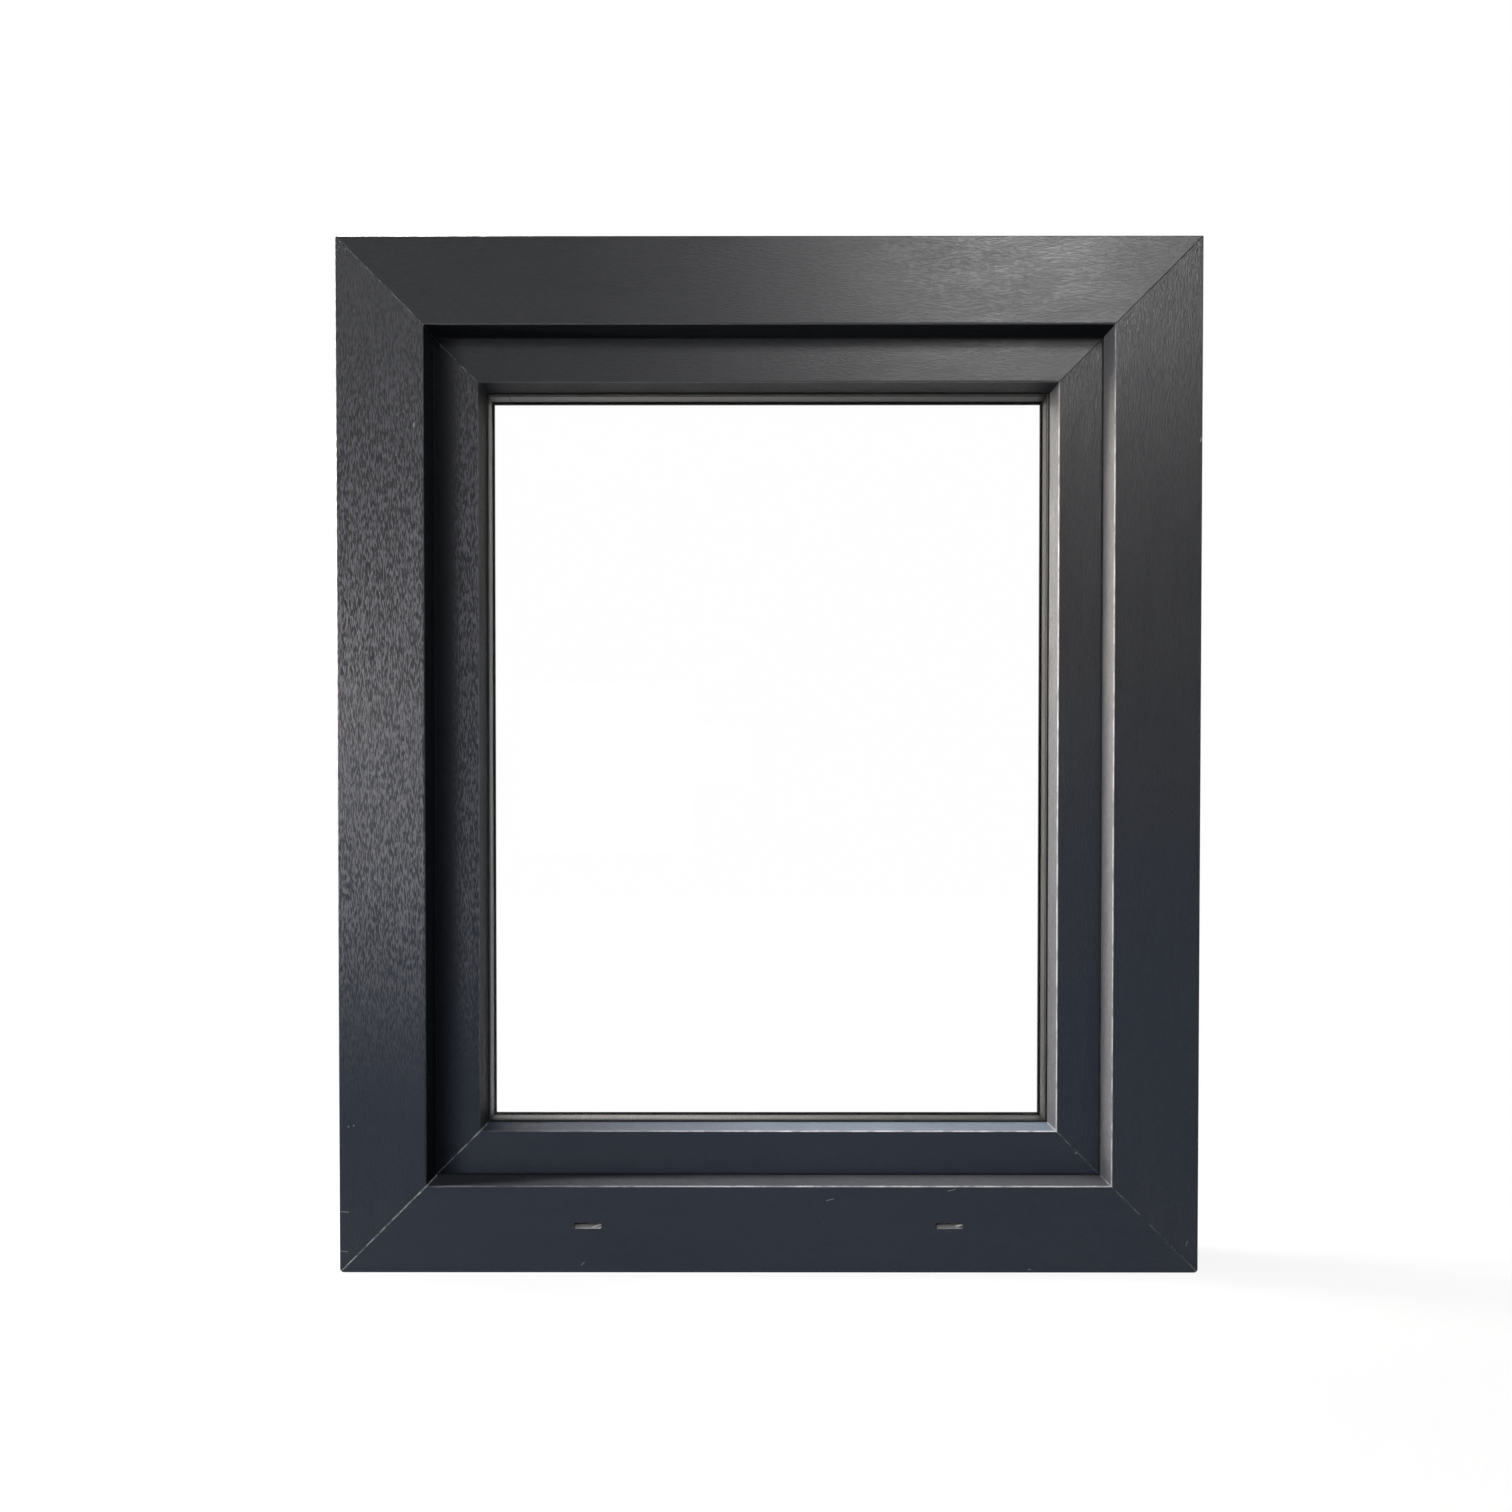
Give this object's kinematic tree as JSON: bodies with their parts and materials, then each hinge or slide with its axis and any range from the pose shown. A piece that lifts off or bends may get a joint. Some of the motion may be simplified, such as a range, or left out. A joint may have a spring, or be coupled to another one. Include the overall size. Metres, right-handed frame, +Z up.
{
  "type": "tilt and turn window",
  "caption": "Closed single-sash tilt and turn window: mitred hollow plastic frame and sash in anthracite foil, sealed double glazing, handle and hinges on the room side.",
  "frame": {"origin": "middle of the sill's bottom face, at mid depth of the outer frame", "axes": "+Z up along the jambs, +Y towards the room, +X to the right seen from outside"},
  "size_m": [0.7, 0.144, 0.84],
  "materials": {
    "foil_frame": "anthracite-grey embossed foil on white plastic, fine short grain",
    "foil_sash": "anthracite-grey embossed foil on white plastic, fine short grain",
    "foil_bead": "anthracite-grey embossed foil on white plastic, fine short grain",
    "clear_glass": "clear float glass, 4 mm, faint green at the edge",
    "spacer_metal": "mill-finish aluminium spacer bar",
    "black_rubber": "black weather seal, semi-matt",
    "edge_sealant": "dark grey sealant round the glass edge",
    "block_plastic": "plain moulded glazing blocks",
    "steel_bar": "galvanised folded steel",
    "handle_metal": "silver satin anodised handle",
    "hinge_metal": "silver-grey powder coat",
    "lock_steel": "silver passivated steel",
    "pin_steel": "bright zinc-plated steel"
  },
  "bodies": {
    "root": {"frame_sill": "foil_frame", "frame_head": "foil_frame", "frame_jamb_left": "foil_frame", "frame_jamb_right": "foil_frame", "sash_bottom_rail": "foil_sash", "sash_top_rail": "foil_sash", "sash_stile_left": "foil_sash", "sash_stile_right": "foil_sash", "glazing_bead_bottom": "foil_bead", "glazing_bead_top": "foil_bead", "glazing_bead_left": "foil_bead", "glazing_bead_right": "foil_bead", "glass_outer_pane": "clear_glass", "glass_inner_pane": "clear_glass", "glass_spacer": "spacer_metal", "glass_edge_seal": "edge_sealant", "setting_blocks": "block_plastic", "frame_gasket": "black_rubber", "overlap_gasket": "black_rubber", "glazing_gasket_outer": "black_rubber", "glazing_gasket_inner": "black_rubber", "frame_reinforcement": "steel_bar", "sash_reinforcement": "steel_bar", "handle_rosette": "handle_metal", "handle_lever": "handle_metal", "handle_spindle": "pin_steel", "lock_rail_bottom": "lock_steel", "lock_rail_top": "lock_steel", "lock_rail_left": "lock_steel", "lock_rail_right": "lock_steel", "lock_gearbox": "lock_steel", "lock_strikers": "lock_steel", "hinge_lower_bracket": "hinge_metal", "hinge_lower_arm": "hinge_metal", "hinge_lower_pin": "pin_steel", "hinge_upper_bracket": "hinge_metal", "hinge_upper_arm": "hinge_metal", "hinge_upper_pin": "pin_steel"}
  },
  "joints": []
}
